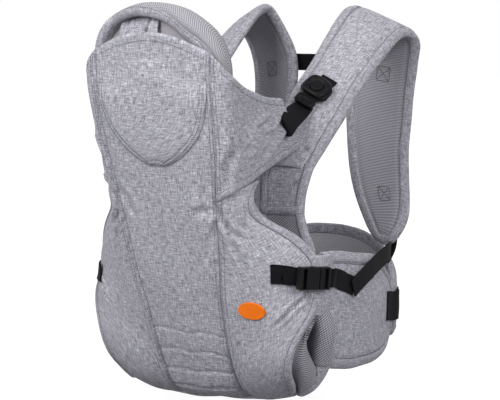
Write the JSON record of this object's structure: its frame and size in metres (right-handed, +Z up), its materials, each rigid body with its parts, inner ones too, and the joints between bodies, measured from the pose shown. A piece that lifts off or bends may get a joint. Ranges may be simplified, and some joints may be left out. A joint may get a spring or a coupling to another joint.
{
  "type": "soft baby carrier",
  "caption": "Soft structured baby carrier with a hooded front panel, padded shoulder straps, a padded waist belt and release buckles.",
  "frame": {"origin": "middle of the loop that the waist belt makes round the wearer, at belt height", "axes": "+Z up along the wearer's body, -Y forward from the wearer through the front panel, +X to the side of the carrier that is on the right when seen from the front"},
  "size_m": [0.3728, 0.4393, 0.5081],
  "materials": {
    "woven_cloth": "heathered plain weave with light and dark flecks",
    "binding_tape": "folded heathered cloth tape with a stitched edge",
    "mesh_lining": "ribbed spacer mesh",
    "plain_lining": "smooth knitted lining",
    "foam": "open foam sheet, hidden",
    "black_webbing": "woven webbing with ribbed edges",
    "black_plastic": "moulded, fine satin texture",
    "label_rubber": "soft moulded, bare"
  },
  "bodies": {
    "carrier": {"armhole_binding": "binding_tape", "belly_panel": "mesh_lining", "centre_panel": "woven_cloth", "chest_socket": "black_plastic", "chest_webbing": "black_webbing", "corner_buckle_left": "black_plastic", "corner_buckle_right": "black_plastic", "harness_strap_left": "woven_cloth", "harness_strap_right": "woven_cloth", "head_patch": "woven_cloth", "hip_panel_left": "woven_cloth", "hip_panel_right": "woven_cloth", "hood_lining": "plain_lining", "hood_rim": "woven_cloth", "hood_tab": "woven_cloth", "inner_panel": "mesh_lining", "leg_binding": "binding_tape", "leg_cuff_left": "mesh_lining", "leg_cuff_right": "mesh_lining", "lumbar_pad_cover": "woven_cloth", "lumbar_pad_foam": "foam", "lumbar_pad_lining": "mesh_lining", "oval_label": "label_rubber", "seat_base": "woven_cloth", "sewn_anchors": "black_webbing", "shoulder_strap_cover_left": "woven_cloth", "shoulder_strap_cover_right": "woven_cloth", "shoulder_strap_foam": "foam", "shoulder_strap_lining": "mesh_lining", "side_socket_left": "black_plastic", "side_socket_right": "black_plastic", "side_webbing": "black_webbing", "side_wing_left": "woven_cloth", "side_wing_right": "woven_cloth", "tip_webbing": "black_webbing", "waist_socket": "black_plastic", "waist_webbing": "black_webbing", "waist_wing_cover_left": "woven_cloth", "waist_wing_cover_right": "woven_cloth", "waist_wing_foam": "foam", "waist_wing_lining": "mesh_lining", "wing_hem": "binding_tape"},
    "right_side_clip": {"side_clip_right": "black_plastic", "side_clip_webbing_right": "black_webbing"},
    "right_corner_latch": {"corner_latch_right": "black_plastic", "corner_loop_right": "black_webbing"},
    "right_corner_button": {"corner_button_right": "black_plastic"},
    "right_tip_adjuster": {"tip_adjuster_right": "black_plastic"},
    "left_side_clip": {"side_clip_left": "black_plastic", "side_clip_webbing_left": "black_webbing"},
    "left_corner_latch": {"corner_latch_left": "black_plastic", "corner_loop_left": "black_webbing"},
    "left_corner_button": {"corner_button_left": "black_plastic"},
    "left_tip_adjuster": {"tip_adjuster_left": "black_plastic"},
    "chest_clip": {"chest_clip": "black_plastic", "chest_clip_webbing": "black_webbing"},
    "waist_clip": {"waist_clip": "black_plastic", "waist_clip_webbing": "black_webbing"}
  },
  "joints": [
    {"name": "right_side_clip_slide", "type": "slide", "parent": "carrier", "child": "right_side_clip", "axis": [0.3951, 0.9149, -0.0832], "range_m": [0, 0.014]},
    {"name": "right_corner_latch_slide", "type": "slide", "parent": "carrier", "child": "right_corner_latch", "axis": [-0.2205, -0.77, -0.5988], "range_m": [0, 0.0075]},
    {"name": "right_corner_button_press", "type": "slide", "parent": "carrier", "child": "right_corner_button", "axis": [-0.3824, 0.6329, -0.6731], "range_m": [0, 0.0018], "stiffness_N_per_m": 400},
    {"name": "right_tip_adjuster_tilt", "type": "hinge", "parent": "carrier", "child": "right_tip_adjuster", "pos_m": [0.11274, 0.0723, 0.09932], "axis": [0.9712, 0.1625, 0.1741], "range_deg": [0, 30]},
    {"name": "left_side_clip_slide", "type": "slide", "parent": "carrier", "child": "left_side_clip", "axis": [0, 0.9998, 0.0204], "range_m": [0, 0.014]},
    {"name": "left_corner_latch_slide", "type": "slide", "parent": "carrier", "child": "left_corner_latch", "axis": [0.2205, -0.77, -0.5988], "range_m": [0, 0.0075]},
    {"name": "left_corner_button_press", "type": "slide", "parent": "carrier", "child": "left_corner_button", "axis": [0.3824, 0.6329, -0.6731], "range_m": [0, 0.0018], "stiffness_N_per_m": 400},
    {"name": "left_tip_adjuster_tilt", "type": "hinge", "parent": "carrier", "child": "left_tip_adjuster", "pos_m": [-0.11274, 0.0723, 0.09932], "axis": [0.9712, -0.1625, -0.1741], "range_deg": [0, 30]},
    {"name": "chest_clip_slide", "type": "slide", "parent": "carrier", "child": "chest_clip", "axis": [1, 0, 0], "range_m": [0, 0.014]},
    {"name": "waist_clip_slide", "type": "slide", "parent": "carrier", "child": "waist_clip", "axis": [1, 0, 0], "range_m": [0, 0.014]}
  ]
}
